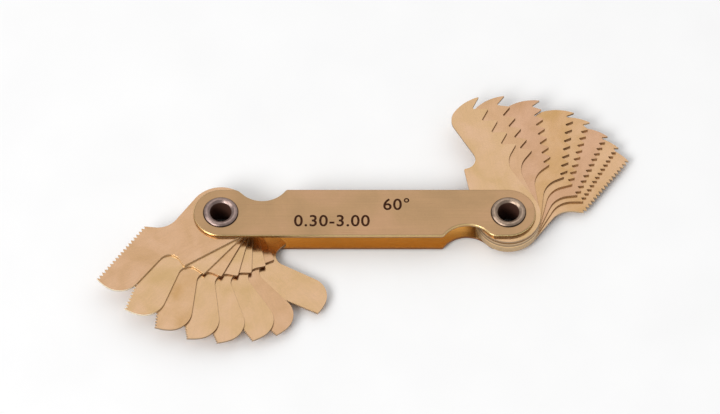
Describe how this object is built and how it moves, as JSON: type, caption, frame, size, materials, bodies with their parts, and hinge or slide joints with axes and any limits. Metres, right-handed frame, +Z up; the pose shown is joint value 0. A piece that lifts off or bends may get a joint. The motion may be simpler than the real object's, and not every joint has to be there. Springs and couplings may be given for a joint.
{
  "type": "thread pitch gauge",
  "caption": "Folding thread pitch gauge: fans of toothed steel leaves turn on the hollow rivets at both ends of a slim open-sided case.",
  "frame": {"origin": "midway between the two hollow rivets, on the surface that the gauge lies on", "axes": "+X along the case, from the rivet of the fine leaves to the rivet of the coarse leaves; +Y across the case; +Z up along the rivets"},
  "size_m": [0.0941, 0.0506, 0.0057],
  "materials": {
    "case_plate": "satin sheet steel with a gold-tan chromate tint",
    "eyelet": "bright nickel-plated, rolled",
    "leaf": "ground thin sheet steel with a light gold tint"
  },
  "bodies": {
    "case": {"case_plate_top": "case_plate", "case_plate_bottom": "case_plate", "eyelet_left": "eyelet", "eyelet_right": "eyelet"},
    "leaf_left_075": {"leaf_left_075": "leaf"},
    "leaf_left_070": {"leaf_left_070": "leaf"},
    "leaf_left_060": {"leaf_left_060": "leaf"},
    "leaf_left_050": {"leaf_left_050": "leaf"},
    "leaf_left_045": {"leaf_left_045": "leaf"},
    "leaf_left_040": {"leaf_left_040": "leaf"},
    "leaf_left_035": {"leaf_left_035": "leaf"},
    "leaf_left_030": {"leaf_left_030": "leaf"},
    "leaf_right_300": {"leaf_right_300": "leaf"},
    "leaf_right_250": {"leaf_right_250": "leaf"},
    "leaf_right_200": {"leaf_right_200": "leaf"},
    "leaf_right_175": {"leaf_right_175": "leaf"},
    "leaf_right_150": {"leaf_right_150": "leaf"},
    "leaf_right_125": {"leaf_right_125": "leaf"},
    "leaf_right_100": {"leaf_right_100": "leaf"},
    "leaf_right_080": {"leaf_right_080": "leaf"}
  },
  "joints": [
    {"name": "leaf_left_075_pivot", "type": "hinge", "parent": "case", "child": "leaf_left_075", "pos_m": [-0.0254, 0, 0], "axis": [0, 0, 1], "range_deg": [-31.5, 148.5]},
    {"name": "leaf_left_070_pivot", "type": "hinge", "parent": "case", "child": "leaf_left_070", "pos_m": [-0.0254, 0, 0], "axis": [0, 0, 1], "range_deg": [-49, 131]},
    {"name": "leaf_left_060_pivot", "type": "hinge", "parent": "case", "child": "leaf_left_060", "pos_m": [-0.0254, 0, 0], "axis": [0, 0, 1], "range_deg": [-63.5, 116.5]},
    {"name": "leaf_left_050_pivot", "type": "hinge", "parent": "case", "child": "leaf_left_050", "pos_m": [-0.0254, 0, 0], "axis": [0, 0, 1], "range_deg": [-77, 103]},
    {"name": "leaf_left_045_pivot", "type": "hinge", "parent": "case", "child": "leaf_left_045", "pos_m": [-0.0254, 0, 0], "axis": [0, 0, 1], "range_deg": [-89, 91]},
    {"name": "leaf_left_040_pivot", "type": "hinge", "parent": "case", "child": "leaf_left_040", "pos_m": [-0.0254, 0, 0], "axis": [0, 0, 1], "range_deg": [-103, 77]},
    {"name": "leaf_left_035_pivot", "type": "hinge", "parent": "case", "child": "leaf_left_035", "pos_m": [-0.0254, 0, 0], "axis": [0, 0, 1], "range_deg": [-113, 67]},
    {"name": "leaf_left_030_pivot", "type": "hinge", "parent": "case", "child": "leaf_left_030", "pos_m": [-0.0254, 0, 0], "axis": [0, 0, 1], "range_deg": [-132.5, 47.5]},
    {"name": "leaf_right_300_pivot", "type": "hinge", "parent": "case", "child": "leaf_right_300", "pos_m": [0.0254, 0, 0], "axis": [0, 0, 1], "range_deg": [-101.5, 78.5]},
    {"name": "leaf_right_250_pivot", "type": "hinge", "parent": "case", "child": "leaf_right_250", "pos_m": [0.0254, 0, 0], "axis": [0, 0, 1], "range_deg": [-91, 89]},
    {"name": "leaf_right_200_pivot", "type": "hinge", "parent": "case", "child": "leaf_right_200", "pos_m": [0.0254, 0, 0], "axis": [0, 0, 1], "range_deg": [-76.5, 103.5]},
    {"name": "leaf_right_175_pivot", "type": "hinge", "parent": "case", "child": "leaf_right_175", "pos_m": [0.0254, 0, 0], "axis": [0, 0, 1], "range_deg": [-61.5, 118.5]},
    {"name": "leaf_right_150_pivot", "type": "hinge", "parent": "case", "child": "leaf_right_150", "pos_m": [0.0254, 0, 0], "axis": [0, 0, 1], "range_deg": [-54, 126]},
    {"name": "leaf_right_125_pivot", "type": "hinge", "parent": "case", "child": "leaf_right_125", "pos_m": [0.0254, 0, 0], "axis": [0, 0, 1], "range_deg": [-44.5, 135.5]},
    {"name": "leaf_right_100_pivot", "type": "hinge", "parent": "case", "child": "leaf_right_100", "pos_m": [0.0254, 0, 0], "axis": [0, 0, 1], "range_deg": [-38, 142]},
    {"name": "leaf_right_080_pivot", "type": "hinge", "parent": "case", "child": "leaf_right_080", "pos_m": [0.0254, 0, 0], "axis": [0, 0, 1], "range_deg": [-31, 149]}
  ]
}
